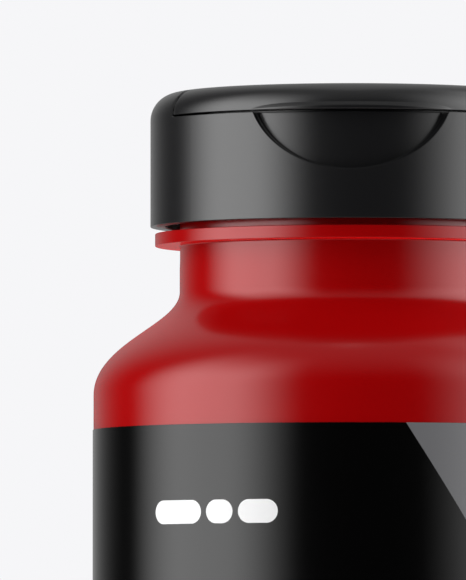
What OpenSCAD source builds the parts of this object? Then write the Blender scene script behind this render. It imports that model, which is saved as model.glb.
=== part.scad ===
// Flip-top paint bottle: hollow bottle, wrap label, paint, liner, screw cap and flap lid.
// Millimetres. The origin is the centre of the base on the floor, +Z is up and the finger
// recess of the cap faces -Y.

/* [Bottle] */
// Diameter of the straight wall
body_d = 53.1; // [50:0.1:56]
// Thickness of the bottle's wall
wall = 1.1; // [0.8:0.05:1.4]
// Height at which the straight wall ends and the shoulder starts
shoulder_z = 108.42; // [80:1:108.42]
// Rounding of the heel
heel_r = 4; // [3:0.5:6]
// Height of the push-up in the middle of the base
push_up = 2.4; // [1:0.2:4]

/* [Neck] */
// Outer diameter of the neck between the threads
neck_d = 35.3; // [35.1:0.1:35.4]
// Diameter of the mouth
mouth_d = 32.1; // [30:0.1:32.4]
// Diameter of the support ring
ring_d = 40.46; // [38:0.1:41]
// Thickness of the support ring
ring_t = 1.29; // [1:0.05:1.5]
// How far the neck's lip stands above the support ring
finish_h = 9.54; // [9.54:0.1:9.54]

/* [Thread] */
// Rise of the thread in one turn
pitch = 4.233; // [4.233:0.001:4.233]
// How far a ridge stands out of its wall
ridge_h = 1.1; // [0.9:0.05:1.1]
// Turns of thread on the neck
neck_turns = 1.25; // [1:0.05:1.25]
// Turns of thread in the cap
cap_turns = 1; // [0.8:0.05:1]

/* [Cap] */
// Diameter of the cap's skirt
cap_d = 41.42; // [41.3:0.1:42]
// Height of the cap from its rim to the parting line
skirt_h = 10.98; // [10.9:0.02:11.2]
// Radius of the rounding from wall to crown
crown_fillet = 2.85; // [2.4:0.05:3]
// Rise of the crown from the rounding to the middle
crown_rise = 0.49; // [0.3:0.01:0.6]
// Height of the gap at the parting line
parting_gap = 0.2; // [0.15:0.01:0.3]
// Diameter of the hole that the paint comes out of
orifice_d = 4.5; // [3:0.1:5]

/* [Finger recess] */
// Half width of the oval
recess_a = 10.42; // [8:0.02:11]
// Half height of the oval
recess_b = 8.38; // [7:0.02:9]
// Height of the oval's centre above the parting line
recess_up = 2.35; // [2:0.05:3]
// Depth of the recess
recess_depth = 1.05; // [0.6:0.05:1.05]

/* [Flap lid] */
// Half the hinge's length
hinge_half = 8; // [6:0.5:9]
// How far the hinge lies behind the bottle's axis
hinge_y = 5; // [4:0.5:6]
// Where the flap's side seams meet the skirt, left and right of the middle
seam_x = 18.2; // [17.5:0.1:18.8]
// Width of the seams
seam_gap = 0.12; // [0.1:0.01:0.2]
// Thickness of the flap's shell
lid_wall = 1.05; // [0.9:0.05:1.2]

/* [Label] */
// Height of the label's top edge
label_top = 104.81; // [90:1:105]
// Height of the label's bottom edge
label_bottom = 8; // [7:1:30]
// Thickness of the label's film
film = 0.1; // [0.08:0.01:0.15]

/* [Paint] */
// Height of the paint's surface
fill_z = 104; // [60:1:105]

/* [Hidden] */
$fn = 96;

bottle_red = "#b5121b";
cap_black = "#2a2a2b";
label_black = "#161617";
liner_white = "#e9e7e1";
paint_red = "#c01420";

// bottle
body_r = body_d / 2;
neck_r = neck_d / 2;
mouth_r = mouth_d / 2;
shoulder_h = 10.68;
neck_z = shoulder_z + shoulder_h;
// plain neck between the shoulder and the support ring
neck_gap = 4.67;
ring_z = neck_z + neck_gap;
lip_z = ring_z + ring_t + finish_h;
// straight reach of the shoulder's curve below the neck and above the wall
shoulder_in = 3.4;
shoulder_out = 5.39;

// neck thread, from its lowest turn's middle; lip_gap is from its highest one to the lip
lip_gap = 2.2;
neck_thread_z = lip_z - lip_gap - pitch * neck_turns;
neck_ridge_half = 1.05;
// the cap's ridge runs this far below the neck's and starts at this angle from +X
mesh_drop = 1.4;
cap_ridge_half = 0.85;
cap_ridge_turn = 136;

// cap, from its rim up
cap_r = cap_d / 2;
rim_gap = 0.7;
cap_z = ring_z + ring_t + rim_gap;
part_z = cap_z + skirt_h;
crown_r = cap_r - crown_fillet;
crown_z = part_z + crown_fillet;
bore_r = neck_r + ridge_h + 0.2;
lead_in = 0.25;
liner_t = 0.6;
liner_play = 0.03;
deck_under = lip_z + liner_t;
deck_top = part_z - 0.3;
land_in = 15.4;
pocket_top = crown_z - 1.1;

// spout and plug
spout_z = part_z + 1.24;
spout_r = orifice_d / 2 + 1.35;
spout_y = -5.5;
plug_r = orifice_d / 2 - 0.05;

// flap
hinge_z = crown_z + 0.04;
web_t = 0.3;
web_half = 0.3;
seam_y = -sqrt(cap_r * cap_r - seam_x * seam_x);
lid_z = part_z + parting_gap / 2;
rim_r = cap_r - lid_wall - 0.15;
rim_h = 0.85;
rim_t = 0.6;
// the snap rim reaches this far round from the front, in degrees
rim_angle = 52;
scoop_tube = 0.8;
scoop_r = 25.2;
scoop_y = 4.3;
scoop_up = 1.3;

// A point of the shoulder's curve, u from 0 at the neck to 1 at the wall.
function shoulder(u, r0, r1, z0, z1, k0, k1) = [
    r0 + (r1 - r0) * (3 * u * u - 2 * u * u * u),
    (1 - u) ^ 3 * z0 + 3 * (1 - u) ^ 2 * u * (z0 - k0) + 3 * (1 - u) * u * u * (z1 + k1)
        + u ^ 3 * z1];

// Points of an arc about [cx, cz], from angle a0 to a1.
function arc(cx, cz, r, a0, a1, n) = [
    for (i = [0:n]) let(a = a0 + (a1 - a0) * i / n) [cx + r * cos(a), cz + r * sin(a)]];

// Outline of the bottle's outside, from the lip down to the heel.
function outside() = concat(
    [[0, lip_z]],
    arc(neck_r - 0.4, lip_z - 0.4, 0.4, 90, 0, 4),
    [[neck_r, neck_z]],
    [for (i = [1:19])
        shoulder(i / 20, neck_r, body_r, neck_z, shoulder_z, shoulder_in, shoulder_out)],
    [[body_r, shoulder_z]],
    arc(body_r - heel_r, heel_r, heel_r, 0, -90, 8),
    [[body_r - heel_r - 3, 0], [body_r - heel_r - 6, push_up * 0.8], [0, push_up]]);

// Outline of the hollow, from the mouth down to the middle of the base. in_gap draws it in.
function hollow(in_gap, top) = let(
        r_in = body_r - wall - in_gap,
        m_in = mouth_r - in_gap,
        floor_z = wall + in_gap) concat(
    [[0, top], [m_in, top]],
    [for (i = [0:20])
        shoulder(i / 20, m_in, r_in, neck_z - 0.7, shoulder_z - 0.6, shoulder_in, shoulder_out)],
    arc(r_in - heel_r + wall, floor_z + heel_r - wall, heel_r - wall, 0, -90, 8),
    [[body_r - heel_r - 3, floor_z], [body_r - heel_r - 6, push_up * 0.8 + floor_z],
     [0, push_up + floor_z]]);

// One cross section of a thread ridge at turn angle a. side is 1 for a ridge on a shaft and
// -1 for a ridge in a bore; k swells the ridge from 0 at its ends to 1.
function section(a, r, z, half, side, k) = let(
        root = r - side * 0.25,
        crest = r + side * (ridge_h * k - 0.01),
        tip = half * 0.42 * k + 0.05,
        foot = half * (0.35 + 0.65 * k)) [
    for (p = [[root, -foot], [crest, -tip], [crest, tip], [root, foot]])
        [p[0] * cos(a), p[0] * sin(a), z + p[1]]];

// Helical ridge that starts at angle a0 and height z0 and climbs with the pitch.
module ridge(r, z0, a0, turns, half, side) {
    steps = ceil(turns * 40);
    rings = [for (i = [0:steps]) let(
            t = i / steps,
            k = min(1, min(t, 1 - t) * steps / 4))
        section(a0 + 360 * turns * t, r, z0 + pitch * turns * t, half, side, k)];
    points = [for (s = rings) each s];
    sides = [for (i = [0:steps - 1]) for (j = [0:3]) let(
            p = i * 4 + j,
            q = i * 4 + (j + 1) % 4)
        side > 0 ? [p, q, q + 4, p + 4] : [p, p + 4, q + 4, q]];
    last = steps * 4;
    ends = side > 0 ? [[3, 2, 1, 0], [last, last + 1, last + 2, last + 3]]
                    : [[0, 1, 2, 3], [last + 3, last + 2, last + 1, last]];
    polyhedron(points, concat(sides, ends), convexity = 6);
}

module bottle() {
    color(bottle_red) union() {
        difference() {
            rotate_extrude() polygon(outside());
            rotate_extrude() polygon(hollow(0, lip_z + 1));
        }
        difference() {
            translate([0, 0, ring_z]) cylinder(r = ring_d / 2, h = ring_t);
            translate([0, 0, ring_z - 1]) cylinder(r = neck_r - 0.5, h = ring_t + 2);
        }
        ridge(neck_r, neck_thread_z, 0, neck_turns, neck_ridge_half, 1);
    }
}

module wrap_label() {
    tall = label_top - label_bottom;
    color(label_black) translate([0, 0, label_bottom]) difference() {
        cylinder(r = body_r + film, h = tall);
        translate([0, 0, -1]) cylinder(r = body_r, h = tall + 2);
    }
}

module paint_fill() {
    color(paint_red) intersection() {
        rotate_extrude() polygon(hollow(0.05, lip_z));
        translate([0, 0, -1]) cylinder(r = body_r + 1, h = fill_z + 1);
    }
}

module seal_liner() {
    color(liner_white) difference() {
        translate([0, 0, lip_z + liner_play])
            cylinder(r = bore_r - 0.3, h = liner_t - 2 * liner_play);
        translate([0, 0, lip_z - 1]) cylinder(r = land_in, h = liner_t + 2);
    }
}

// Plan of the flap. g draws its sides in and back draws its hinge edge forward.
module fan(g, back) {
    spread = (seam_x - hinge_half) / (hinge_y - seam_y);
    rear = hinge_y - web_half - back;
    front = -cap_r - 5;
    rear_half = hinge_half + (hinge_y - rear) * spread - g;
    front_half = hinge_half + (hinge_y - front) * spread - g;
    polygon([[-rear_half, rear], [-front_half, front], [front_half, front], [rear_half, rear]]);
}

// Dome over the parting line, drawn in by g, with its foot at height z0.
module dome(g, z0) {
    steps = 8;
    rotate_extrude() polygon(concat(
        [[0, z0], [cap_r - g, z0]],
        arc(crown_r, part_z, crown_fillet - g, 0, 88, 12),
        [for (i = [1:steps]) let(q = 1 - i / steps)
            [crown_r * q, crown_z - g + crown_rise * (1 - q * q)]]));
}

// V-shaped room above the living hinge, so that the flap can fold right back.
module hinge_groove() {
    top = crown_z + crown_rise + 0.1 - hinge_z;
    translate([0, hinge_y, hinge_z]) rotate([90, 0, 90]) translate([0, 0, -hinge_half - 0.9])
        linear_extrude(2 * hinge_half + 1.8)
            polygon([[-web_half, web_t / 2], [web_half, web_t / 2],
                     [web_half + 2 * (top - web_t / 2), top],
                     [-web_half - 2 * (top - web_t / 2), top]]);
}

// Oval scoop for a finger below the flap's lip. Its floor follows the skirt.
module finger_recess() {
    difference() {
        translate([0, -cap_r + 6, part_z + recess_up]) rotate([90, 0, 0]) linear_extrude(12)
            polygon([for (a = [0:7.5:359]) [recess_a * cos(a), recess_b * sin(a)]]);
        translate([0, 0, cap_z - 1]) cylinder(r = cap_r - recess_depth, h = 30);
    }
}

// Raised rim inside the flap's front wall, which the flap snaps over.
module snap_rim() {
    wide = cap_r + 5;
    side = -wide / tan(rim_angle);
    intersection() {
        difference() {
            translate([0, 0, deck_top - 0.1]) cylinder(r = rim_r, h = rim_h + 0.1);
            translate([0, 0, deck_top - 1]) cylinder(r = rim_r - rim_t, h = rim_h + 2);
        }
        translate([0, 0, deck_top - 1]) linear_extrude(rim_h + 2)
            polygon([[0, 0], [-wide, side], [-wide, -wide], [wide, -wide], [wide, side]]);
    }
}

// Crater that the paint comes out of.
module spout() {
    draft = 0.5;
    translate([0, spout_y, deck_top - 0.1])
        cylinder(r1 = spout_r + draft, r2 = spout_r, h = spout_z - deck_top + 0.1);
}

// Cap with its skirt, deck, spout and the fixed dome behind the flap.
module closure_base() {
    shelf_z = part_z - parting_gap / 2;
    color(cap_black) union() {
        difference() {
            union() {
                translate([0, 0, cap_z]) cylinder(r = cap_r, h = deck_top - cap_z);
                // shelf that the flap closes on
                translate([0, 0, deck_top - 0.1]) difference() {
                    cylinder(r = cap_r, h = shelf_z - deck_top + 0.1);
                    translate([0, 0, -1]) cylinder(r = rim_r - rim_t, h = 3);
                }
                difference() {
                    dome(0, deck_top - 0.1);
                    translate([0, 0, deck_top]) linear_extrude(10) fan(-seam_gap / 2, 0);
                    translate([-hinge_half, hinge_y - 1, deck_top])
                        cube([2 * hinge_half, 1 + web_half, 10]);
                    hinge_groove();
                }
                snap_rim();
                spout();
            }
            // room for the neck, with a wider mouth
            translate([0, 0, cap_z - 1]) cylinder(r = bore_r, h = deck_under - cap_z + 1);
            translate([0, 0, cap_z - 1]) cylinder(r = bore_r + lead_in, h = 2.1);
            // hollow under the fixed dome
            intersection() {
                translate([0, 0, deck_under - 1])
                    cylinder(r = land_in, h = pocket_top - deck_under + 1);
                translate([-cap_r, hinge_y + web_half + 1, 0]) cube([cap_d, cap_r, crown_z]);
            }
            translate([0, spout_y, deck_under - 1]) cylinder(r = orifice_d / 2, h = 10);
            finger_recess();
        }
        ridge(bore_r, neck_thread_z - mesh_drop + pitch * cap_ridge_turn / 360, cap_ridge_turn,
              cap_turns, cap_ridge_half, -1);
    }
}

// Web that bends between the flap and the fixed dome.
module living_hinge() {
    color(cap_black) translate([-hinge_half + 0.3, hinge_y - web_half, hinge_z - web_t / 2])
        cube([2 * hinge_half - 0.6, 2 * web_half, web_t]);
}

// Flap with its plug. Its shell is open below.
module flip_lid() {
    plug_len = 1;
    color(cap_black) union() {
        difference() {
            intersection() {
                dome(0, part_z - 1);
                translate([0, 0, lid_z]) linear_extrude(10) fan(seam_gap / 2, 0);
            }
            intersection() {
                dome(lid_wall, lid_z - 1);
                translate([0, 0, lid_z - 2]) linear_extrude(10)
                    fan(seam_gap / 2 + lid_wall * 1.2, lid_wall);
            }
            hinge_groove();
            // shallow groove that leaves the thumb lip standing
            translate([0, scoop_y, part_z + scoop_up]) rotate_extrude()
                translate([scoop_r, 0]) circle(r = scoop_tube);
        }
        translate([0, spout_y, 0]) difference() {
            union() {
                translate([0, 0, spout_z]) cylinder(r = plug_r, h = crown_z - 0.5 - spout_z);
                translate([0, 0, spout_z - plug_len])
                    cylinder(r1 = plug_r - 0.45, r2 = plug_r, h = plug_len);
            }
            translate([0, 0, spout_z - plug_len - 1])
                cylinder(r = plug_r - 0.9, h = plug_len + 1.6);
        }
    }
}

bottle();
wrap_label();
paint_fill();
seal_liner();
closure_base();
living_hinge();
flip_lid();
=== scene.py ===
import math

import bmesh
import bpy
import numpy as np
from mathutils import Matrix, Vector


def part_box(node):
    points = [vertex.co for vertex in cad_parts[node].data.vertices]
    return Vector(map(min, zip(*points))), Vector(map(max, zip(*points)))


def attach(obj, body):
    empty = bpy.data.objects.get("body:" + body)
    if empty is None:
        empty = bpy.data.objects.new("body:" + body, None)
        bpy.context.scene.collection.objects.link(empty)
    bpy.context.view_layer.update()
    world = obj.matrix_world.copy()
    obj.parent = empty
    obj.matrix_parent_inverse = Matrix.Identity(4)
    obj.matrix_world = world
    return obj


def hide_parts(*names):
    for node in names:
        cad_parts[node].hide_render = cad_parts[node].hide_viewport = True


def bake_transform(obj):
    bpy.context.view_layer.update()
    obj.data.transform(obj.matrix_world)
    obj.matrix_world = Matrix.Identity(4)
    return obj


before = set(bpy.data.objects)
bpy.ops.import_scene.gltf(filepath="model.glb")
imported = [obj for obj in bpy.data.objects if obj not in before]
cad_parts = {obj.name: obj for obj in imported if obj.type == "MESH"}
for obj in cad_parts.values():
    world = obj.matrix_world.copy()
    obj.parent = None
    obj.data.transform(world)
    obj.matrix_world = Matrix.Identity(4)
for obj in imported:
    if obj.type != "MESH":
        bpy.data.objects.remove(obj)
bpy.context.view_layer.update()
print("frame loaded:", sorted(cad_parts))

# Lengths below are millimetres unless a name ends in M. Angles named turn are measured round
# the bottle's axis from the front (-Y) towards the right (+X), in radians.


def nodeBox(node):  # lowest and highest corner of a CAD node, in millimetres
    low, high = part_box(node)
    return np.array(low) * 1000, np.array(high) * 1000


bottleHigh = nodeBox("bottle")[1]
capLow, capHigh = nodeBox("closure_base")
lidLow = nodeBox("flip_lid")[0]
labelLow, labelHigh = nodeBox("wrap_label")
paintHigh = nodeBox("paint_fill")[1]
linerLow, linerHigh = nodeBox("seal_liner")
hingeLow, hingeHigh = nodeBox("living_hinge")


def smooth(x):  # eased step: 0 below 0, 1 above 1, 3x^2 - 2x^3 between
    x = np.clip(x, 0, 1)
    return x * x * (3 - 2 * x)


def arcPath(centreR, centreZ, radius, fromDeg, toDeg, count):
    # points of a circle's arc: centre + radius * (cos a, sin a)
    a = np.radians(np.linspace(fromDeg, toDeg, count))
    return np.stack([centreR + radius * np.cos(a), centreZ + radius * np.sin(a)], 1)


def gridFaces(rows, cols, wrapRows=False, wrapCols=False):
    # four corner numbers for each cell of a rows x cols grid of points
    r = np.arange(rows if wrapRows else rows - 1)
    c = np.arange(cols if wrapCols else cols - 1)
    r, c = np.meshgrid(r, c, indexing="ij")
    rNext, cNext = (r + 1) % rows, (c + 1) % cols
    quads = np.stack([r * cols + c, r * cols + cNext, rNext * cols + cNext, rNext * cols + c], -1)
    return quads.reshape(-1, 4)


def spin(path, turns):
    # turns a path of (radius, height) points round the axis: x = r sin a, y = -r cos a
    r, z = path[:, 0][:, None], path[:, 1][:, None]
    return np.stack([r * np.sin(turns), -r * np.cos(turns), z + 0 * turns], -1)


def makePiece(name, patches, material, sharpDeg=40.0, uv=None):
    # patches are (points in mm, faces); touching points are merged, so patches and closed rows
    # weld into one shell
    points, faces, offset = [], [], 0
    for grid, quads in patches:
        flat = grid.reshape(-1, 3)
        points.append(flat)
        faces.append(quads + offset)
        offset += len(flat)
    points, faces = np.concatenate(points) * 0.001, np.concatenate(faces)
    mesh = bpy.data.meshes.new(name)
    mesh.vertices.add(len(points))
    mesh.vertices.foreach_set("co", points.astype(np.float32).ravel())
    mesh.loops.add(faces.size)
    mesh.loops.foreach_set("vertex_index", faces.astype(np.int32).ravel())
    mesh.polygons.add(len(faces))
    mesh.polygons.foreach_set("loop_start", np.arange(0, faces.size, 4, dtype=np.int32))
    mesh.update(calc_edges=True)
    if uv is not None:
        layer = mesh.uv_layers.new(name="flatSheet")
        layer.data.foreach_set("uv", uv[faces.ravel()].astype(np.float32).ravel())
    weld(mesh)
    mesh.polygons.foreach_set("use_smooth", np.ones(len(mesh.polygons), dtype=bool))
    mesh.set_sharp_from_angle(angle=math.radians(sharpDeg))
    mesh.materials.append(material)
    piece = bpy.data.objects.new(name, mesh)
    bpy.context.scene.collection.objects.link(piece)
    print("made", name, len(mesh.polygons), "faces")
    return piece


def weld(mesh):
    # merges points closer than 0.4 thousandths of a millimetre and turns every face outwards
    bm = bmesh.new()
    bm.from_mesh(mesh)
    bmesh.ops.remove_doubles(bm, verts=bm.verts, dist=4e-7)
    bmesh.ops.dissolve_degenerate(bm, dist=4e-7, edges=bm.edges)
    bmesh.ops.recalc_face_normals(bm, faces=bm.faces)
    bm.to_mesh(mesh)
    bm.free()


def hexLinear(code):  # sRGB hex to linear colour
    rgb = [int(code[i:i + 2], 16) / 255 for i in (0, 2, 4)]
    return [c / 12.92 if c <= 0.04045 else ((c + 0.055) / 1.055) ** 2.4 for c in rgb] + [1.0]


def addNode(tree, kind, inputs=None, **settings):
    # adds a node; settings are its properties, inputs its sockets: a value, or a socket to link
    node = tree.nodes.new(kind)
    for key, value in settings.items():
        setattr(node, key, value)
    for key, value in (inputs or {}).items():
        if isinstance(value, bpy.types.NodeSocket):
            tree.links.new(value, node.inputs[key])
        else:
            node.inputs[key].default_value = value
    return node


def newMaterial(name):
    # an empty material with one shader joined to its output
    material = bpy.data.materials.new(name)
    material.use_nodes = True
    tree = material.node_tree
    tree.nodes.clear()
    shader = tree.nodes.new("ShaderNodeBsdfPrincipled")
    output = tree.nodes.new("ShaderNodeOutputMaterial")
    tree.links.new(shader.outputs[0], output.inputs[0])
    return material, tree, shader


def mouldedSurface(name, colour, roughness, ior, grainMm, bumpMm, mottle=0.06):
    # a moulded finish: fine spark-eroded grain that breaks up the gloss, faint flow mottling in
    # the colour, and a slight unevenness of the gloss
    material, tree, shader = newMaterial(name)
    place = addNode(tree, "ShaderNodeTexCoord").outputs["Object"]
    grain = addNode(tree, "ShaderNodeTexNoise",
                    {"Vector": place, "Scale": 1000 / grainMm, "Detail": 3.0})
    flow = addNode(tree, "ShaderNodeTexNoise", {"Vector": place, "Scale": 1000 / 14, "Detail": 2.0})
    base = hexLinear(colour)
    tint = addNode(tree, "ShaderNodeMix", {
        0: flow.outputs[0],
        6: [c * (1 - mottle) for c in base[:3]] + [1],
        7: [c * (1 + mottle) for c in base[:3]] + [1],
    }, data_type="RGBA")
    gloss = addNode(tree, "ShaderNodeMapRange", {
        "Value": grain.outputs[0], "To Min": roughness - 0.03, "To Max": roughness + 0.03})
    bump = addNode(tree, "ShaderNodeBump",
                   {"Height": grain.outputs[0], "Strength": 1.0, "Distance": bumpMm / 1000})
    tree.links.new(tint.outputs[2], shader.inputs["Base Color"])
    tree.links.new(gloss.outputs[0], shader.inputs["Roughness"])
    tree.links.new(bump.outputs[0], shader.inputs["Normal"])
    shader.inputs["IOR"].default_value = ior
    return material


# satin black polypropylene, injection moulded: deep charcoal with a soft broad sheen
capPlastic = mouldedSurface("satinPolypropylene", "171718", 0.24, 1.64, 0.35, 0.0006)
# blow-moulded polyethylene, coloured right through: saturated deep red with a satin gloss
bottlePlastic = mouldedSurface("satinPolyethylene", "a10204", 0.18, 1.6, 0.45, 0.0008, 0.03)
# the pigment tints its gloss a little and glows at glancing angles
bottleGlow = {"Sheen Weight": 0.9, "Sheen Roughness": 0.3, "Sheen Tint": hexLinear("ff1010"),
              "Specular Tint": hexLinear("ffdada")}
for socket, value in bottleGlow.items():
    bottlePlastic.node_tree.nodes["Principled BSDF"].inputs[socket].default_value = value
# matt-laminated film label: near-black ink under an even satin skin
labelFilm = mouldedSurface("mattLaminatedFilm", "030303", 0.17, 1.48, 0.3, 0.0004)
# closed-cell foam: off-white, dull, with small cells
linerFoam = mouldedSurface("polyethyleneFoam", "e4e2db", 0.7, 1.45, 0.4, 0.03)
# wet acrylic paint: glossy, slightly rippled
wetPaint = mouldedSurface("wetAcrylicPaint", "8c0305", 0.12, 1.45, 4.0, 0.02)

printSizes = {                   # on the flat label: across from the front's middle, and height
    "left": 5.57,                # left corner of the grey triangle that hangs from the top edge
    "width": 40.0,
    "slope": 0.656,              # its sides run in by this much for each millimetre down
    "top": labelHigh[2],         # the label's top edge
    "barsLeft": -22.3,           # row of plain bars in place of a name
    "barsZ": 95.9,
    "barLengths": (6.2, 3.1, 4.3),
    "barGap": 0.62,
    "barHeight": 2.4,
    "grey": "747476",
    "white": "f4f4f4",
}


def printLabel(material, size):
    # two kinds of printed shape over the film's ink. Triangle: |across - middle| < half width -
    # slope * depth below the top edge. Bar: distance from its middle line < half its height
    tree = material.node_tree
    shader = next(node for node in tree.nodes if node.type == "BSDF_PRINCIPLED")
    ink = shader.inputs["Base Color"].links[0].from_socket
    sheet = addNode(tree, "ShaderNodeUVMap", uv_map="flatSheet").outputs[0]
    flat = addNode(tree, "ShaderNodeSeparateXYZ", {0: sheet})
    across, height = flat.outputs[0], flat.outputs[1]
    half, slope = size["width"] / 2, size["slope"]
    fromMiddle = across
    for kind, operand in (("SUBTRACT", (size["left"] + half) / 1000), ("ABSOLUTE", 0.0)):
        fromMiddle = addNode(tree, "ShaderNodeMath", {0: fromMiddle, 1: operand},
                             operation=kind).outputs[0]
    reach = addNode(tree, "ShaderNodeMath", {
        0: height, 1: slope, 2: (half - slope * size["top"]) / 1000},
        operation="MULTIPLY_ADD").outputs[0]
    triangle = addNode(tree, "ShaderNodeMath", {0: fromMiddle, 1: reach},
                       operation="LESS_THAN").outputs[0]
    ink = addNode(tree, "ShaderNodeMix", {0: triangle, 6: ink, 7: hexLinear(size["grey"])},
                  data_type="RGBA").outputs[2]
    aside = addNode(tree, "ShaderNodeMath", {0: height, 1: size["barsZ"] / 1000},
                    operation="SUBTRACT").outputs[0]
    asideSquared = addNode(tree, "ShaderNodeMath", {0: aside, 1: aside},
                           operation="MULTIPLY").outputs[0]
    start = size["barsLeft"]
    for length in size["barLengths"]:
        past = across
        for kind, operand in (("SUBTRACT", (start + length / 2) / 1000), ("ABSOLUTE", 0.0),
                              ("SUBTRACT", (length - size["barHeight"]) / 2000),
                              ("MAXIMUM", 0.0)):
            past = addNode(tree, "ShaderNodeMath", {0: past, 1: operand},
                           operation=kind).outputs[0]
        squared = addNode(tree, "ShaderNodeMath", {0: past, 1: past, 2: asideSquared},
                          operation="MULTIPLY_ADD").outputs[0]
        bar = addNode(tree, "ShaderNodeMath", {0: squared, 1: (size["barHeight"] / 2000) ** 2},
                      operation="LESS_THAN").outputs[0]
        ink = addNode(tree, "ShaderNodeMix", {0: bar, 6: ink, 7: hexLinear(size["white"])},
                      data_type="RGBA").outputs[2]
        start += length + size["barGap"]
    tree.links.new(ink, shader.inputs["Base Color"])


printLabel(labelFilm, printSizes)

bottleSizes = {
    "bodyR": bottleHigh[0],      # straight wall
    "neckR": 17.65,              # between the ridges of the thread
    "mouthR": 16.05,
    "wall": 1.1,
    "shoulderZ": 108.42,         # where the straight wall ends
    "neckZ": 119.10,             # where the shoulder meets the neck
    "shoulderIn": 3.4,           # reach of the shoulder's curve at the neck
    "shoulderOut": 5.39,         # and at the wall
    "neckStep": 0.7,             # the inside's shoulder lies this much lower at the neck
    "wallStep": 0.6,             # and this much lower at the wall
    "ringR": 20.23,
    "ringLow": 123.77,           # underside and top of the support ring
    "ringHigh": 125.06,
    "ringEdge": 0.08,            # rounding of its edges
    "ringRoot": 0.15,            # and of its roots on the neck
    "lipOut": 0.35,              # rounding of the lip outside
    "lipIn": 0.3,                # and inside
    "lipZ": bottleHigh[2],
    "heelR": 4.0,
    "pushUp": 2.4,               # rise of the base in its middle
    "pitch": 4.233,
    "turns": 1.25,
    "ridge": 1.1,
    "ridgeHalf": 1.05,           # half the thread's width at its root
    "lipGap": 2.2,               # from the thread's end up to the lip
    "seamRise": 0.035,           # parting line of the mould: height and half width
    "seamHalf": 0.12,
    "weldRise": 0.3,             # weld under the base: height, half width, half length
    "weldHalf": 0.45,
    "weldReach": 15,
}


def threadRise(turn, z, size, startTurn, startZ, turns, half):
    # height of a helical ridge over its wall: a rounded trapezium across the distance from the
    # helix z = startZ + pitch * turn / full circle, faded in and out over its ends
    rise = 0 * (turn + z)
    full = 2 * math.pi
    base = (turn - startTurn) % full
    for lap in range(3):
        along = base + lap * full
        middle = startZ + size["pitch"] * along / full
        fade = smooth(along / 0.5) * smooth((turns * full - along) / 0.5)
        across = np.abs(z - middle)
        shape = smooth((half - across) / (half * 0.6))
        rise = np.maximum(rise, size["ridge"] * fade * shape * (along <= turns * full))
    return rise


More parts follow.
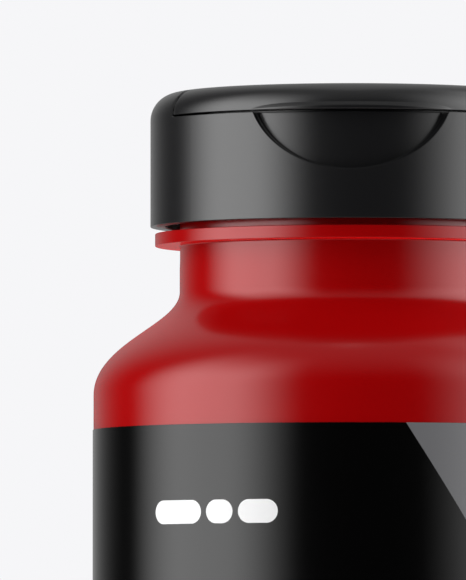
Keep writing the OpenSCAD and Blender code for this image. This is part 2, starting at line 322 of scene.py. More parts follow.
def bottleShell(size, material):
    # one closed path of (radius, height) from the middle of the base, up the outside, over the
    # lip and down the inside, spun round the axis; the thread is added along the radius
    bodyR, neckR, mouthR, wall = size["bodyR"], size["neckR"], size["mouthR"], size["wall"]
    heel = size["heelR"]
    footR = bodyR - heel

    def shoulder(r0, r1, z0, z1, count):
        # cubic curve with upright ends: r eases by 3u^2 - 2u^3, z by its four control heights
        u = np.linspace(0, 1, count)
        r = r1 + (r0 - r1) * (3 * u ** 2 - 2 * u ** 3)
        z = ((1 - u) ** 3 * z1 + 3 * (1 - u) ** 2 * u * (z1 + size["shoulderOut"])
             + 3 * (1 - u) * u ** 2 * (z0 - size["shoulderIn"]) + u ** 3 * z0)
        return np.stack([r, z], 1)

    baseR = np.linspace(0, footR - 3, 22)
    base = np.stack([baseR, size["pushUp"] * (1 - 0.12 * (baseR / footR) ** 2)
                     * (1 - smooth((baseR - footR + 7.5) / 4.5))], 1)
    ringR, lowZ, highZ, lipZ = size["ringR"], size["ringLow"], size["ringHigh"], size["lipZ"]
    edge, root, lipOut, lipIn = size["ringEdge"], size["ringRoot"], size["lipOut"], size["lipIn"]
    outside = np.concatenate([
        base,
        arcPath(footR, heel, heel, -90, 0, 18),
        np.stack([np.full(6, bodyR), np.linspace(heel + 1, size["shoulderZ"] - 1, 6)], 1),
        shoulder(neckR, bodyR, size["neckZ"], size["shoulderZ"], 54),
        np.stack([np.full(4, neckR), np.linspace(size["neckZ"] + 1, lowZ - root, 4)], 1)[:-1],
        arcPath(neckR + root, lowZ - root, root, 180, 90, 6),
        np.array([[ringR - 1.2, lowZ]]),
        arcPath(ringR - edge, lowZ + edge, edge, -90, 0, 8),
        arcPath(ringR - edge, highZ - edge, edge, 0, 90, 8),
        np.array([[ringR - 1.2, highZ]]),
        arcPath(neckR + root, highZ + root, root, -90, -180, 6),
        np.stack([np.full(62, neckR), np.linspace(highZ + root + 0.1, lipZ - 0.6, 62)], 1),
        arcPath(neckR - lipOut, lipZ - lipOut, lipOut, 0, 90, 7),
    ])
    innerR, floorZ, bend = bodyR - wall, wall, heel - wall
    floorR = innerR - bend
    innerBaseR = np.linspace(floorR, 0, 20)
    inside = np.concatenate([
        arcPath(mouthR + lipIn, lipZ - lipIn, lipIn, 90, 180, 6),
        np.stack([np.full(5, mouthR), np.linspace(lipZ - 1, size["neckZ"], 5)], 1),
        shoulder(mouthR, innerR, size["neckZ"] - size["neckStep"],
                 size["shoulderZ"] - size["wallStep"], 30)[::-1],
        np.stack([np.full(3, innerR), np.linspace(size["shoulderZ"] - 4, heel + 2, 3)], 1),
        arcPath(floorR, floorZ + bend, bend, 0, -90, 10),
        np.stack([innerBaseR, floorZ + size["pushUp"] * (1 - 0.12 * (innerBaseR / footR) ** 2)
                  * (1 - smooth((innerBaseR - footR + 7.5) / 4.5))], 1)[1:],
    ])
    path = np.concatenate([outside, inside])
    # extra columns beside the mould's parting line at the left and right
    even = np.arange(256) / 256 * 2 * math.pi
    fine = np.array([-0.012, -0.008, -0.004, 0.004, 0.008, 0.012])
    turns = np.unique(np.concatenate([even, fine + math.pi / 2, fine + 1.5 * math.pi]))
    r, z = path[:, 0][:, None] + 0 * turns, path[:, 1][:, None] + 0 * turns
    outer = (np.arange(len(path)) < len(outside))[:, None]
    threadZ = lipZ - size["lipGap"] - size["pitch"] * size["turns"]
    rise = threadRise(turns[None, :] - math.pi / 2, z, size, 0.0, threadZ, size["turns"],
                      size["ridgeHalf"])
    onNeck = outer & (np.abs(r - neckR) < 0.01) & (z > highZ + 0.3)
    r = r + np.where(onNeck, rise, 0)
    # parting line of the blow mould: a raised line whose height falls off as a bell curve
    sideways = np.abs(np.cos(turns))[None, :] * r
    seam = size["seamRise"] * np.exp(-(sideways / size["seamHalf"]) ** 2)
    r = r + np.where(outer & (r > 5) & (z < size["neckZ"] + 3), seam, 0)
    points = np.stack([r * np.sin(turns), -r * np.cos(turns), z], -1)
    # pinched-off weld across the base, a bell curve too, that fades out at its ends
    x, y = points[..., 0], points[..., 1]
    weldLine = (size["weldRise"] * np.exp(-(y / size["weldHalf"]) ** 2)
                * smooth((size["weldReach"] - np.abs(x)) / 3))
    points[..., 2] -= np.where(outer & (z < size["pushUp"] + 0.01), weldLine, 0)
    return makePiece("bottleShell", [(points, gridFaces(len(path), len(turns), wrapCols=True))],
                     material)


bottle = bottleShell(bottleSizes, bottlePlastic)
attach(bottle, "bottle")
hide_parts("bottle")

labelSizes = {
    "r": bottleSizes["bodyR"] + 0.01,
    "film": 0.1,
    "cut": 0.02,                 # slant of the film's cut edges
    "low": labelLow[2],
    "high": labelHigh[2],
    "overlap": 6.0,              # of the two ends at the back
}


def labelSheet(size, material):
    # a strip wound once round the wall: the far end climbs over the near one by a film's
    # thickness along r = wall + lift(arc), with all four edges closed
    around = 2 * math.pi * size["r"]
    span = around + size["overlap"]
    arc = np.unique(np.concatenate([np.linspace(0, span, 320),
                                    np.linspace(around - 0.6, around + 0.6, 14)]))
    lift = (size["film"] + 0.02) * smooth((arc - around + 0.5) / 0.8)
    turn = math.pi + arc / size["r"]
    section = np.array([[0, size["low"]], [size["film"], size["low"] + size["cut"]],
                        [size["film"], size["high"] - size["cut"]], [0, size["high"]]])
    r = size["r"] + section[:, 0][:, None] + lift[None, :]
    z = section[:, 1][:, None] + 0 * arc
    points = np.stack([r * np.sin(turn), -r * np.cos(turn), z], -1)
    quads = gridFaces(4, len(arc), wrapRows=True)
    last = len(arc) - 1
    ends = np.array([[0, 1, 2, 3], [3, 2, 1, 0]]) * len(arc) + np.array([[0], [last]])
    # the flat sheet: u is the arc from the front's middle, v the height, both in metres
    front = arc - around / 2
    uv = np.stack([front[None, :] + 0 * z, z], -1).reshape(-1, 2) * 0.001
    return makePiece("wrapLabel", [(points, np.concatenate([quads, ends]))], material, 30.0, uv)


label = labelSheet(labelSizes, labelFilm)
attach(label, "bottle")
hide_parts("wrap_label")

halfGap = 0.1
capSizes = {
    "skirtR": capHigh[0],
    "rimZ": capLow[2],
    "partZ": lidLow[2] - halfGap,  # height of the parting line
    "gap": halfGap,               # half the height of its gap
    "deckDrop": 0.3,              # deck below the parting line
    "fillet": 2.85,               # rounding from wall to crown
    "crownRise": 0.49,
    "boreR": 18.95,
    "lipR": 19.2,                 # wider mouth of the bore
    "deckUnder": linerHigh[2] + 0.03,
    "landR": 15.4,
    "pocketY": 6.3,               # front of the hollow under the fixed dome
    "ceiling": 1.1,               # thickness of the dome over it
    "rimR": 19.51,                # snap rim: outside, thickness, height over the deck, half angle
    "rimT": 1.0,
    "rimH": 0.85,
    "rimTurn": math.radians(52),
    "hingeHalf": 8.0,
    "hingeY": 5.0,
    "hingeZ": (hingeLow[2] + hingeHigh[2]) / 2,
    "webHalf": 0.3,
    "webT": 0.3,
    "seamX": 18.2,                # where the side seams meet the skirt
    "seamGap": 0.12,
    "recessA": 10.42,             # oval finger recess: half width, half height, rise of its
    "recessB": 8.38,              # centre over the parting line, depth
    "recessUp": 2.35,
    "recessDepth": 1.05,
    "recessBrim": 0.05,           # rounding of its brim and of its floor's edge
    "recessRoot": 0.06,
    "spoutY": -5.5,
    "spoutR": 3.6,
    "spoutRoot": 0.7,             # its foot is this much wider
    "spoutTop": 1.24,             # over the parting line
    "orificeR": 2.25,
    "lidWall": 1.05,
    "plugR": 2.2,
    "edge": 0.07,                 # rounding of the moulded edges
    "pitch": bottleSizes["pitch"],
    "ridge": 1.1,
    "ridgeHalf": 0.85,
    "ridgeTurn": 136,             # where the cap's thread starts, degrees from +X
    "meshDrop": 1.4,              # how far it runs below the neck's
    "plugRoot": 0.35,             # rounding where the plug meets the lid
    "plugTip": 0.18,              # and of the plug's tip
}
capSizes["crownR"] = capSizes["skirtR"] - capSizes["fillet"]


def domeHeight(r, size, inset=0.0):
    # height of the cap's top: a quarter round of the fillet's radius, then a shallow paraboloid
    crownR, bend = size["crownR"], size["fillet"] - inset
    out = np.clip(r - crownR, 0, bend)
    arc = size["partZ"] + np.sqrt(np.maximum(bend ** 2 - out ** 2, 0))
    return arc + size["crownRise"] * np.clip(1 - (r / crownR) ** 2, 0, 1)


def seamSpread(size):  # how far a seam moves outwards for each millimetre towards the front
    seamY = -math.sqrt(size["skirtR"] ** 2 - size["seamX"] ** 2)
    return (size["seamX"] - size["hingeHalf"]) / (size["hingeY"] - seamY)


def fanReach(turn, size, side, inset=0.0):
    # distance from the axis to the flap's outline in each direction: the nearest of the skirt,
    # the straight seams and the hinge line. side is +1 for the fixed part and -1 for the flap
    dx, dy = np.abs(np.sin(turn)), -np.cos(turn)
    spread = seamSpread(size)
    offset = side * size["seamGap"] / 2 - inset * math.hypot(1, spread)
    far = 1e3
    across = dx + spread * dy
    seam = np.where(across > 1e-6, (size["hingeHalf"] + size["hingeY"] * spread + offset)
                    / np.maximum(across, 1e-6), far)
    back = size["hingeY"] + side * size["webHalf"] - inset
    hinge = np.where(dy > 1e-6, back / np.maximum(dy, 1e-6), far)
    return np.minimum(np.minimum(seam, hinge), size["skirtR"] - inset)


def fanCorners(size, side):
    # directions of the flap's front corner, where seam meets skirt, and of its hinge corner
    spread = seamSpread(size)
    reach = size["hingeHalf"] + size["hingeY"] * spread + side * size["seamGap"] / 2
    front = math.asin(reach / size["skirtR"] / math.hypot(1, spread)) + math.atan(spread)
    hingeX = reach - (size["hingeY"] + side * size["webHalf"]) * spread
    return front, math.pi - math.atan2(hingeX, size["hingeY"] + side * size["webHalf"])


def seamDistance(x, y, size, side):
    # distance of a point from the nearest seam or the hinge edge, positive away from the gap
    spread = seamSpread(size)
    seam = (np.abs(x) - size["hingeHalf"] - (size["hingeY"] - y) * spread
            - side * size["seamGap"] / 2) / math.hypot(1, spread)
    back = y - size["hingeY"] - side * size["webHalf"]
    return np.maximum(seam, back) if side > 0 else np.minimum(-seam, -back)


def edgeDrop(distance, radius):
    # how far a rounded edge lies below the flat beside it
    inward = np.clip(radius - distance, 0, radius)
    return radius - np.sqrt(np.maximum(radius ** 2 - inward ** 2, 0))


def hingeGroove(x, y, size):
    # height of the V over the living hinge; it runs out beyond the hinge's ends
    flank = np.maximum(np.abs(y - size["hingeY"]) - size["webHalf"], 0)
    ends = 3 * smooth((np.abs(x) - size["hingeHalf"] - 0.5) / 0.4)
    return size["hingeZ"] + size["webT"] / 2 + flank * 0.5 + ends


def topHeight(x, y, size, side):
    # the dome with its rounded seam edges and the groove of the hinge
    top = domeHeight(np.hypot(x, y), size)
    top = top - edgeDrop(seamDistance(x, y, size, side), size["edge"])
    return np.minimum(top, hingeGroove(x, y, size))


def ovalDistance(x, z, size):
    # signed distance from the finger recess's oval outline, positive outside (first order)
    rise = z - size["partZ"] - size["recessUp"]
    f = (x / size["recessA"]) ** 2 + (rise / size["recessB"]) ** 2 - 1
    slope = 2 * np.hypot(x / size["recessA"] ** 2, rise / size["recessB"] ** 2)
    return f / np.maximum(slope, 1e-4)


def recessDepthAt(x, z, size):
    # radial depth of the recess from the distance d inside its outline: crisp brim, steep wall,
    # a narrow ledge half way down, steep again, and a small fillet at the floor
    d = -ovalDistance(x, z, size)
    deep, brim, root = size["recessDepth"], size["recessBrim"], size["recessRoot"]
    steps = np.interp(d, [0, 0.02, 0.07, 0.09], [brim, 0.5 * deep, 0.5 * deep, deep - root])
    corner = np.clip((d - 0.09) / root, 0, 1)
    floor = deep - root * (1 - np.sqrt(1 - (1 - corner) ** 2))
    return np.where(d < 0, edgeDrop(-d, brim), np.where(d < 0.09, steps, floor))


def capTurns(size):
    # directions of the columns: crowded at the recess's ends, the rim's ends, the flap's
    # corners and the ends of the hinge
    lowest = math.asin((size["recessUp"] + size["gap"]) / size["recessB"])
    oval = np.linspace(math.pi - lowest, lowest, 84)
    recess = np.arcsin(size["recessA"] * np.cos(oval) / size["skirtR"])
    last = recess[-1]
    corner, hingeEnd = fanCorners(size, 1)
    rim = size["rimTurn"]
    side = np.concatenate([
        [last + 0.003, last + 0.02],
        np.linspace(last + 0.02, rim, 14)[1:], [rim + 0.006],
        np.linspace(rim + 0.006, corner, 8)[1:], [corner + 0.004],
        np.linspace(corner + 0.004, hingeEnd, 52)[1:],
        np.linspace(hingeEnd, math.pi, 34)[1:-1],
    ])
    return np.concatenate([recess, side, [math.pi], (2 * math.pi - side)[::-1]])


def capShell(size, material):
    # one closed loop of points for every direction round the axis: rim, skirt, then over the
    # dome or the open shelf, down to the deck, in to the spout, through its hole, out along
    # the deck's underside and down the threaded bore back to the rim
    turns = capTurns(size)
    cols = len(turns)
    dx, dy = np.sin(turns), -np.cos(turns)
    skirtR, partZ, edge = size["skirtR"], size["partZ"], size["edge"]
    shelfZ, deckZ = partZ - size["gap"], partZ - size["deckDrop"]
    reach = fanReach(turns, size, 1)
    rear = reach < skirtR - 1e-4
    rows = []

    def addRing(r, z):  # one row of the loop, at radius r and height z in every direction
        r, z = np.broadcast_to(r, cols) + 0.0, np.broadcast_to(z, cols) + 0.0
        rows.append(np.stack([r * dx, r * dy, z], -1))

    # rim and skirt
    for r, z in [(size["lipR"], size["rimZ"] + 0.12), (size["lipR"] + 0.12, size["rimZ"]),
                 (skirtR - 0.3, size["rimZ"])]:
        addRing(r, z)
    for r, z in arcPath(skirtR - edge, size["rimZ"] + edge, edge, -80, 0, 6):
        addRing(r, z)
    # rows that gather along the recess's outline, and lie level elsewhere; columns just beyond
    # the recess's ends give way sideways, less and less with distance
    front = np.cos(turns) > 0.3
    x0 = skirtR * dx
    endX = size["recessA"] * math.sqrt(1 - ((size["recessUp"] + size["gap"])
                                            / size["recessB"]) ** 2)
    inside = front & (np.abs(x0) < endX + 1e-6)
    level = np.clip(1 - (x0 / size["recessA"]) ** 2, 0, 1)
    ovalZ = partZ + size["recessUp"] - size["recessB"] * np.sqrt(level)
    ovalZ = np.where(inside, np.minimum(ovalZ, shelfZ), shelfZ)

    def outward(x, z):  # unit normal of the oval
        nx, nz = x / size["recessA"] ** 2, (z - partZ - size["recessUp"]) / size["recessB"] ** 2
        return nx / np.hypot(nx, nz), nz / np.hypot(nx, nz)

    endNormalX, endNormalZ = outward(endX, shelfZ)
    fade = np.exp(-np.maximum(np.abs(x0) - endX, 0) / 1.3)
    normalX, normalZ = outward(x0, ovalZ)
    normalX = np.where(inside, normalX, np.sign(x0) * endNormalX * fade) * front
    normalZ = np.where(inside, normalZ, endNormalZ)

    def wallRow(x, z):  # a row of the skirt at sideways place x, sunk by the recess
        z = np.minimum(z, shelfZ - edge)
        depth = np.where(front, recessDepthAt(x, z, size), 0)
        turn = np.where(front, np.arcsin(np.clip(x / skirtR, -1, 1)), turns)
        r = skirtR - depth
        rows.append(np.stack([r * np.sin(turn), -r * np.cos(turn), z], -1))

    startZ = size["rimZ"] + edge
    brimX, brimZ = x0 + 0.7 * normalX, ovalZ + 0.7 * normalZ
    for t in np.linspace(0, 1, 13)[1:-1]:
        wallRow(x0 + (brimX - x0) * t ** 2, startZ + (brimZ - startZ) * t)
    for d in (0.7, 0.4, 0.2, 0.1, 0.05, 0.035, 0.02, 0.01, 0.0, -0.01, -0.02, -0.045, -0.07, -0.08,
              -0.09, -0.1, -0.112, -0.127, -0.15, -0.19, -0.3, -0.45):
        wallRow(x0 + np.where(inside, d, max(d, 0)) * normalX, ovalZ + d * normalZ)
    floorX, floorZ = x0 - np.where(inside, 0.45, 0) * normalX, ovalZ - 0.45 * normalZ
    for t in np.linspace(0, 1, 12)[1:]:
        wallRow(floorX, np.where(inside, floorZ + (shelfZ - edge - floorZ) * t, shelfZ))
    lastRow = rows[-1]
    wallR = np.hypot(lastRow[:, 0], lastRow[:, 1])
    wallTurn = np.arctan2(lastRow[:, 0], -lastRow[:, 1])
    # top edge of the shelf, or the plain wall up to the dome
    for a in np.radians([20, 45, 70, 90]):
        r = np.where(rear, skirtR, wallR - edge * (1 - math.cos(a)))
        z = np.where(rear, shelfZ - edge + (partZ - shelfZ + edge) * a / (math.pi / 2),
                     shelfZ - edge + edge * math.sin(a))
        rows.append(np.stack([r * np.sin(wallTurn), -r * np.cos(wallTurn), z], -1))
    shelfR = wallR - edge

    # dome from the wall in to the flap's outline; elsewhere the shelf in to the snap rim
    filletEnd = np.arccos(np.clip((reach - size["crownR"]) / size["fillet"], 0, 1))
    crownStart = np.maximum(size["crownR"], reach)
    for t in np.linspace(0, 1, 19)[1:]:
        a = filletEnd * t
        r = size["crownR"] + size["fillet"] * np.cos(a)
        flat = shelfR + (size["rimR"] - shelfR) * t * 0.5
        r = np.where(rear, r, flat)
        z = np.where(rear, topHeight(r * dx, r * dy, size, 1), shelfZ)
        addRing(r, z)
    steps = np.concatenate([np.linspace(0, 0.86, 16)[1:], [0.9, 0.93, 0.955, 0.972, 0.984,
                            0.991, 0.995, 0.998, 1]])
    for t in steps:
        r = crownStart + (reach - crownStart) * t
        flat = shelfR + (size["rimR"] - shelfR) * (0.5 + 0.5 * t)
        r = np.where(rear, r, flat)
        z = np.where(rear, topHeight(r * dx, r * dy, size, 1), shelfZ)
        addRing(r, z)
    domeEdge = topHeight(reach * dx, reach * dy, size, 1)
    footZ = np.where(reach > size["rimR"] - size["rimT"], shelfZ, deckZ)
    for t in (0.3, 0.6, 0.85, 1.0):
        addRing(np.where(rear, reach, size["rimR"]),
                np.where(rear, domeEdge + (footZ - domeEdge) * t, shelfZ))

    # snap rim in front, shelf's inner step elsewhere
    rimTop = np.where(np.abs((turns + math.pi) % (2 * math.pi) - math.pi) < size["rimTurn"]
                      + 0.003, deckZ + size["rimH"], shelfZ)
    tall = rimTop - shelfZ
    outR, inR, bevel = size["rimR"], size["rimR"] - size["rimT"], np.minimum(0.14, tall)
    waist = np.minimum(0.7, 2 * tall)
    for r, z in [(outR - waist, shelfZ), (outR - waist, shelfZ + 0.3 * tall),
                 (outR - 0.3 * waist, shelfZ + 0.42 * tall), (outR, shelfZ + 0.5 * tall),
                 (outR, rimTop - bevel), (outR - 0.04, rimTop - 0.3 * bevel),
                 (outR - 0.14, rimTop), (inR + 0.14, rimTop), (inR + 0.04, rimTop - 0.3 * bevel),
                 (inR, rimTop - bevel), (inR, np.minimum(shelfZ, rimTop)), (inR, deckZ)]:
        clamped = np.minimum(r, reach)
        z = np.where(rear & (reach < inR + 0.01), deckZ, z)
        addRing(clamped, z)

    # deck in to the spout, the spout and its hole
    edgeR = np.minimum(inR, reach)
    spoutZ = partZ + size["spoutTop"]
    baseR = size["spoutR"] + size["spoutRoot"]

    def toCircle(t, fromR, circleR, z, centreY=size["spoutY"]):
        # straight across from the circle of radius fromR round the axis to the spout's circle
        x = fromR * dx * (1 - t) + circleR * dx * t
        y = fromR * dy * (1 - t) + (centreY + circleR * dy) * t
        rows.append(np.stack([x, y, np.broadcast_to(z, cols) + 0.0], -1))

    for t in np.linspace(0, 1, 11)[1:]:
        toCircle(t, edgeR, baseR, deckZ)
    for r, z in np.concatenate([
            arcPath(baseR, deckZ + 0.4, 0.4, -90, -170, 6),
            [[size["spoutR"] + 0.1, spoutZ - 0.5]],
            arcPath(size["spoutR"] - 0.1, spoutZ - 0.2, 0.2, 0, 90, 6),
            arcPath(size["orificeR"] + 0.3, spoutZ - 0.3, 0.3, 90, 180, 6),
            [[size["orificeR"], spoutZ - 0.9], [size["orificeR"], size["deckUnder"] + 0.2],
             [size["orificeR"] + 0.2, size["deckUnder"]]]]):
        toCircle(1, edgeR, r, z)

    # underside with the hollow below the fixed dome
    pocketTop = partZ + size["fillet"] - size["ceiling"]
    behind = np.where(dy > 1e-3, size["pocketY"] / np.maximum(dy, 1e-3), 1e3)
    pocket = np.minimum(behind, size["landR"])
    deep = np.where(pocket < size["landR"] - 1e-4, pocketTop, size["deckUnder"])
    for t in np.linspace(0, 1, 9)[1:]:
        x = (size["orificeR"] + 0.2) * dx * (1 - t) + pocket * dx * t
        y = (size["spoutY"] + (size["orificeR"] + 0.2) * dy) * (1 - t) + pocket * dy * t
        rows.append(np.stack([x, y, np.full(cols, size["deckUnder"])], -1))
    addRing(pocket, deep)
    for t in (0.25, 0.5, 0.75, 1):
        addRing(pocket + (size["landR"] - pocket) * t, deep)
    addRing(size["landR"], size["deckUnder"])
    for r in (16.5, 17.8, size["boreR"] - 0.25):
        addRing(r, size["deckUnder"])
    for r, z in arcPath(size["boreR"] - 0.25, size["deckUnder"] - 0.25, 0.25, 80, 0, 4):
        addRing(r, z)
    # threaded bore
    neckThread = bottleSizes["lipZ"] - bottleSizes["lipGap"] - size["pitch"] * bottleSizes["turns"]
    threadZ = neckThread - size["meshDrop"] + size["pitch"] * size["ridgeTurn"] / 360
    for z in np.linspace(size["deckUnder"] - 0.5, size["rimZ"] + 1.2, 60):
        rise = threadRise(turns - math.pi / 2, z + 0 * turns, size, math.radians(size["ridgeTurn"]),
                          threadZ, 1.0, size["ridgeHalf"])
        addRing(size["boreR"] - rise, z)
    addRing(size["lipR"], size["rimZ"] + 0.95)
    points = np.stack(rows)
    faces = gridFaces(len(rows), cols, wrapRows=True, wrapCols=True)
    return makePiece("closureShell", [(points, faces)], material, 32.0)


closure = capShell(capSizes, capPlastic)
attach(closure, "closure")
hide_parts("closure_base")

lipSizes = {
    "half": 10.3,                # half width of the thumb lip
    "top": 0.83,                 # heights over the parting line in the middle, where the lip
    "low": 0.47,                 # leaves the fillet, and of its crisp edge
    "sag": 0.0029,               # fall of that edge, per square millimetre sideways
    "flare": 0.55,               # outwards for each millimetre down
}


def lipReach(x, z, size, lip):
    # how far the thumb lip stands proud of the fillet: a straight flare between two arched
    # edges, and as much again below it
    top = lip["top"] * np.sqrt(np.maximum(1 - (x / lip["half"]) ** 4, 0))
    low = lip["low"] - lip["sag"] * x ** 2
    band = np.maximum(top - low, 0)
    return lip["flare"] * np.clip(top - (z - size["partZ"]), 0, band)


def lidTurns(size):
    # directions of the lid's columns: crowded at its front, its corners and its hinge
    front, hingeEnd = fanCorners(size, -1)
    side = np.concatenate([
        np.linspace(0, 0.52, 46), np.linspace(0.52, front, 22)[1:], [front + 0.004],
        np.linspace(front + 0.004, hingeEnd, 46)[1:], np.linspace(hingeEnd, math.pi, 34)[1:-1],
    ])
    return np.concatenate([side, [math.pi], (2 * math.pi - side[1:])[::-1]])


def lidShell(size, lip, material):
    # rows of points from the crown's middle out over the fillet, down to the lower edge, up the
    # inside and in along the ceiling to the plug, down its wall and up its hollow
    turns = lidTurns(size)
    cols = len(turns)
    dx, dy = np.sin(turns), -np.cos(turns)
    skirtR, edge, crownR = size["skirtR"], size["edge"], size["crownR"]
    lidZ = size["partZ"] + size["gap"]
    reach = fanReach(turns, size, -1)
    front = reach > skirtR - 1e-4
    rows = []

    def addRing(r, z):
        r, z = np.broadcast_to(r, cols) + 0.0, np.broadcast_to(z, cols) + 0.0
        rows.append(np.stack([r * dx, r * dy, z], -1))

    crownEnd = np.minimum(reach, crownR)
    for t in np.concatenate([np.linspace(0, 0.86, 16), [0.9, 0.93, 0.955, 0.972, 0.984, 0.991,
                             0.996, 1]]):
        r = crownEnd * t
        addRing(r, topHeight(r * dx, r * dy, size, -1))
    # over the fillet; a is the angle above level, and stops at the lower edge or at the seam
    lowest = math.asin((size["gap"] + edge) / size["fillet"])
    stop = np.where(front, lowest, np.arccos(np.clip((reach - crownR) / size["fillet"], 0, 1)))
    fine = np.concatenate([np.linspace(90, 26, 18), np.linspace(25, 4.4, 40)])
    for share in (fine[1:] - fine[-1]) / (fine[0] - fine[-1]):
        a = stop + (math.pi / 2 - stop) * share
        r = crownR + size["fillet"] * np.cos(a)
        r = np.where(reach > crownR, np.minimum(r, reach), reach)
        z = topHeight(r * dx, r * dy, size, -1)
        r = r + np.where(front, lipReach(r * dx, z, size, lip), 0)
        addRing(r, z)
    outR, outZ = np.hypot(rows[-1][:, 0], rows[-1][:, 1]), rows[-1][:, 2]
    for t in (0.2, 0.5, 0.8, 1.0):
        addRing(outR, outZ + (lidZ + edge - outZ) * t)
    for a in np.radians([25, 50, 70, 90]):
        addRing(outR - edge * (1 - math.cos(a)), lidZ + edge * (1 - math.sin(a)))
    # inside
    innerR = fanReach(turns, size, -1, size["lidWall"])
    innerTop = np.maximum(domeHeight(innerR, size, size["lidWall"]), lidZ + 0.1)
    addRing(innerR + 0.05, lidZ)
    addRing(innerR, lidZ + 0.05)
    for t in (0.25, 0.5, 0.75, 1):
        addRing(innerR, lidZ + 0.05 + (innerTop - lidZ - 0.05) * t)
    innerRound = size["fillet"] - size["lidWall"]
    first = np.arccos(np.clip((innerR - crownR) / innerRound, 0, 1))
    for t in np.linspace(0, 1, 10)[1:]:
        a = first + (math.pi / 2 - first) * t
        r = np.where(innerR > crownR, np.minimum(crownR + innerRound * np.cos(a), innerR), innerR)
        addRing(r, np.maximum(domeHeight(r, size, size["lidWall"]), lidZ + 0.1))
    ceilingR = np.minimum(innerR, crownR)
    plugR, spoutY = size["plugR"], size["spoutY"]
    rootR = plugR + size["plugRoot"]
    for t in np.linspace(0, 1, 13)[1:]:
        x = ceilingR * dx * (1 - t) + rootR * dx * t
        y = ceilingR * dy * (1 - t) + (spoutY + rootR * dy) * t
        rows.append(np.stack([x, y, domeHeight(np.hypot(x, y), size, size["lidWall"])], -1))
    ceiling = rows[-1][:, 2]
    spoutZ = size["partZ"] + size["spoutTop"]

    def addPlug(r, z):
        rows.append(np.stack([r * dx, spoutY + r * dy, np.broadcast_to(z, cols) + 0.0], -1))

    for a in np.radians([25, 50, 75, 90]):
        addPlug(rootR - size["plugRoot"] * math.sin(a),
                ceiling - size["plugRoot"] * (1 - math.cos(a)))
    tip = size["plugTip"]
    for r, z in np.concatenate([
            [[plugR, spoutZ]], [[plugR - 0.2, spoutZ - 0.5]],
            arcPath(plugR - 0.45 - tip, spoutZ - 1 + tip, tip, 0, -90, 6),
            arcPath(plugR - 0.9 + tip, spoutZ - 1 + tip, tip, -90, -180, 6),
            [[plugR - 0.9, spoutZ + 0.3], [plugR - 1.1, spoutZ + 0.5], [0.5, spoutZ + 0.58],
             [0, spoutZ + 0.6]]]):
        addPlug(r, z)
    return makePiece("flapShell", [(np.stack(rows), gridFaces(len(rows), cols, wrapCols=True))],
                     material, 32.0)


flap = lidShell(capSizes, lipSizes, capPlastic)
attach(flap, "lid")
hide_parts("flip_lid")


def hingeWeb(size, material):
    # the thin strip across the hinge's gap, waisted in the middle where it bends
    y = np.linspace(-size["webHalf"], size["webHalf"], 15)
    thick = size["webT"] / 2 * (0.7 + 0.3 * (y / size["webHalf"]) ** 2)
    section = np.concatenate([np.stack([y, thick], 1), np.stack([y, -thick], 1)[::-1]])
    half = size["hingeHalf"] - 0.3
    across = np.array([-half, -half + 0.05, half - 0.05, half])
    shrink = np.array([0.6, 1, 1, 0.6])
    x = across[:, None] + 0 * section[:, 0]
    points = np.stack([x, size["hingeY"] + section[:, 0] + 0 * x,
                       size["hingeZ"] + section[:, 1] * shrink[:, None]], -1)
    side = len(y)
    quads = gridFaces(4, 2 * side, wrapCols=True)
    strip = np.arange(side - 1)
    cap = np.stack([strip, strip + 1, 2 * side - 2 - strip, 2 * side - 1 - strip], 1)
    caps = np.concatenate([cap, (cap + 3 * 2 * side)[:, ::-1]])
    return makePiece("hingeWeb", [(points, np.concatenate([quads, caps]))], material, 50.0)


web = hingeWeb(capSizes, capPlastic)
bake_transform(web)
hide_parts("living_hinge")


def spunRing(name, path, material, count=192, sharp=40.0):
    # a path spun round the axis; it closes on itself unless it starts on the axis
    turns = np.arange(count) / count * 2 * math.pi
    path = np.asarray(path, float)
    closed = path[0, 0] > 1e-6
    quads = gridFaces(len(path), count, wrapRows=closed, wrapCols=True)
    return makePiece(name, [(spin(path, turns), quads)], material, sharp)


soft = 0.12
linerIn, linerOut = capSizes["landR"], capSizes["boreR"] - 0.3
liner = spunRing("linerRing", np.concatenate([
    arcPath(linerIn + soft, linerLow[2] + soft, soft, 180, 270, 4),
    arcPath(linerOut - soft, linerLow[2] + soft, soft, -90, 0, 4),
    arcPath(linerOut - soft, linerHigh[2] - soft, soft, 0, 90, 4),
    arcPath(linerIn + soft, linerHigh[2] - soft, soft, 90, 180, 4),
]), linerFoam)
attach(liner, "liner")
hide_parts("seal_liner")


def paintPath(size, topZ):
    # middle of the surface out to the wall, where it creeps up a little, then down and round
    # the floor; it stays a hair inside the bottle's wall
    wallR = size["bodyR"] - size["wall"] - 0.05
    floorZ, bend = size["wall"] + 0.05, size["heelR"] - size["wall"]
    footR = size["bodyR"] - size["heelR"]
    r = np.concatenate([np.linspace(0, wallR - 3, 8), np.linspace(wallR - 2.6, wallR, 14)])
    surface = np.stack([r, topZ - 0.7 + 0.7 * np.exp((r - wallR) / 0.8)], 1)
    baseR = np.linspace(wallR - bend, 0, 20)
    base = np.stack([baseR, floorZ + size["pushUp"] * (1 - 0.12 * (baseR / footR) ** 2)
                     * (1 - smooth((baseR - footR + 7.5) / 4.5))], 1)
    return np.concatenate([surface, [[wallR, topZ - 10], [wallR, floorZ + bend + 1]],
                           arcPath(wallR - bend, floorZ + bend, bend, 0, -90, 8), base[1:]])


paint = spunRing("paintFill", paintPath(bottleSizes, paintHigh[2]), wetPaint)
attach(paint, "bottle")
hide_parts("paint_fill")

studio = {
    "eyeZ": 70.1,                # camera height
    "distance": 1132.0,          # from the bottle's axis
    "aimX": -12.18,              # point at the picture's middle
    "aimZ": 119.3,
    "lens": 680.9,
    "backdrop": "f6f6f8",
}


def aimedAt(obj, target):
    # turns the camera's view axis towards a point
    obj.rotation_euler = (Vector(target) - obj.location).to_track_quat("-Z", "Y").to_euler()


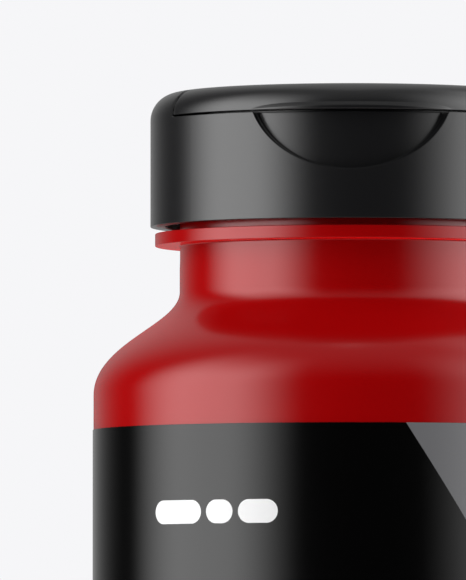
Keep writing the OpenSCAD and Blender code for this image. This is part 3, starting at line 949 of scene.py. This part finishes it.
def makeCamera(size):
    data = bpy.data.cameras.new("camera")
    data.lens = size["lens"]
    data.sensor_width = 36
    data.clip_end = 20
    camera = bpy.data.objects.new("camera", data)
    bpy.context.scene.collection.objects.link(camera)
    camera.location = (0, -size["distance"] / 1000, size["eyeZ"] / 1000)
    aimedAt(camera, (size["aimX"] / 1000, 0, size["aimZ"] / 1000))
    bpy.context.scene.camera = camera


lights = {                       # degrees: azimuth from the front towards the right, elevation
    "left": (-116, -80, -58, -21, 3.45),     # softbox: rises from, to, falls from, to, brightness
    "right": (30, 90, 122, 150, 3.1),
    "low": (-50, -10),           # both softboxes fade in over these elevations
    "high": (22, 74),            # and out over these
    "sky": (15, 85, 0.28),       # dim ceiling: fades in from, to, brightness
    "back": (118, 172, 0.4),     # pale wall behind, both sides: fades in from, to, brightness
    "room": 0.008,               # what is left everywhere
}


def makeWorld(size, lit):
    # the camera sees an even pale backdrop. The light is two softboxes with soft edges, a dim
    # ceiling and a pale wall behind, each a product of smooth steps of azimuth and elevation
    world = bpy.data.worlds.new("studio")
    bpy.context.scene.world = world
    world.use_nodes = True
    tree = world.node_tree
    tree.nodes.clear()
    output = tree.nodes.new("ShaderNodeOutputWorld")
    seen = addNode(tree, "ShaderNodeBackground", {"Color": hexLinear(size["backdrop"])})
    place = addNode(tree, "ShaderNodeTexCoord").outputs["Generated"]
    way = addNode(tree, "ShaderNodeSeparateXYZ", {"Vector": place})

    x, y, z = way.outputs[0], way.outputs[1], way.outputs[2]
    nearness = addNode(tree, "ShaderNodeMath", {0: y, 1: -1.0}, operation="MULTIPLY").outputs[0]
    azimuth = addNode(tree, "ShaderNodeMath", {0: x, 1: nearness}, operation="ARCTAN2").outputs[0]
    elevation = addNode(tree, "ShaderNodeMath", {0: z}, operation="ARCSINE").outputs[0]
    aside = addNode(tree, "ShaderNodeMath", {0: azimuth}, operation="ABSOLUTE").outputs[0]
    left, right = lit["left"], lit["right"]
    steps = []
    for value, start, end, low, high in (
            (elevation, *lit["low"], 0.0, 1.0), (elevation, *lit["high"], 1.0, 0.0),
            (azimuth, *left[:2], 0.0, 1.0), (azimuth, *left[2:4], left[4], 0.0),
            (azimuth, *right[:2], 0.0, 1.0), (azimuth, *right[2:4], right[4], 0.0),
            (elevation, *lit["sky"][:2], 0.0, lit["sky"][2]),
            (aside, *lit["back"][:2], 0.0, lit["back"][2])):
        steps.append(addNode(tree, "ShaderNodeMapRange", {
            "Value": value, "From Min": math.radians(start), "From Max": math.radians(end),
            "To Min": low, "To Max": high}, interpolation_type="SMOOTHSTEP").outputs[0])
    over, under, leftRise, leftFall, rightRise, rightFall, sky, back = steps
    total = lit["room"]
    for light, *factors in ((over, under, leftRise, leftFall),
                            (over, under, rightRise, rightFall), (sky,), (back,)):
        for factor in factors:
            light = addNode(tree, "ShaderNodeMath", {0: light, 1: factor},
                            operation="MULTIPLY").outputs[0]
        total = addNode(tree, "ShaderNodeMath", {0: light, 1: total}, operation="ADD").outputs[0]
    room = addNode(tree, "ShaderNodeBackground", {"Strength": total, "Color": (1, 1, 1, 1)})
    toCamera = addNode(tree, "ShaderNodeLightPath").outputs["Is Camera Ray"]
    mix = addNode(tree, "ShaderNodeMixShader",
                  {0: toCamera, 1: room.outputs[0], 2: seen.outputs[0]})
    tree.links.new(mix.outputs[0], output.inputs[0])


def makeFloor():
    # a pale floor that fades into the backdrop, so that it has no edge
    half, solidR, fadeR = 3.0, 0.16, 0.34
    mesh = bpy.data.meshes.new("floor")
    mesh.from_pydata([(-half, -half, 0), (half, -half, 0), (half, half, 0), (-half, half, 0)],
                     [], [(0, 1, 2, 3)])
    material, tree, shader = newMaterial("paleFloor")
    shader.inputs["Base Color"].default_value = hexLinear("d8d8da")
    shader.inputs["Roughness"].default_value = 0.6
    place = addNode(tree, "ShaderNodeTexCoord").outputs["Object"]
    distance = addNode(tree, "ShaderNodeVectorMath", {0: place}, operation="LENGTH").outputs[1]
    fade = addNode(tree, "ShaderNodeMapRange", {
        "Value": distance, "From Min": solidR, "From Max": fadeR,
        "To Min": 1.0, "To Max": 0.0}, interpolation_type="SMOOTHSTEP").outputs[0]
    tree.links.new(fade, shader.inputs["Alpha"])
    mesh.materials.append(material)
    floor = bpy.data.objects.new("floor", mesh)
    bpy.context.scene.collection.objects.link(floor)


makeCamera(studio)
makeWorld(studio, lights)
makeFloor()
bpy.context.scene.view_settings.view_transform = "Standard"
print("studio ready")
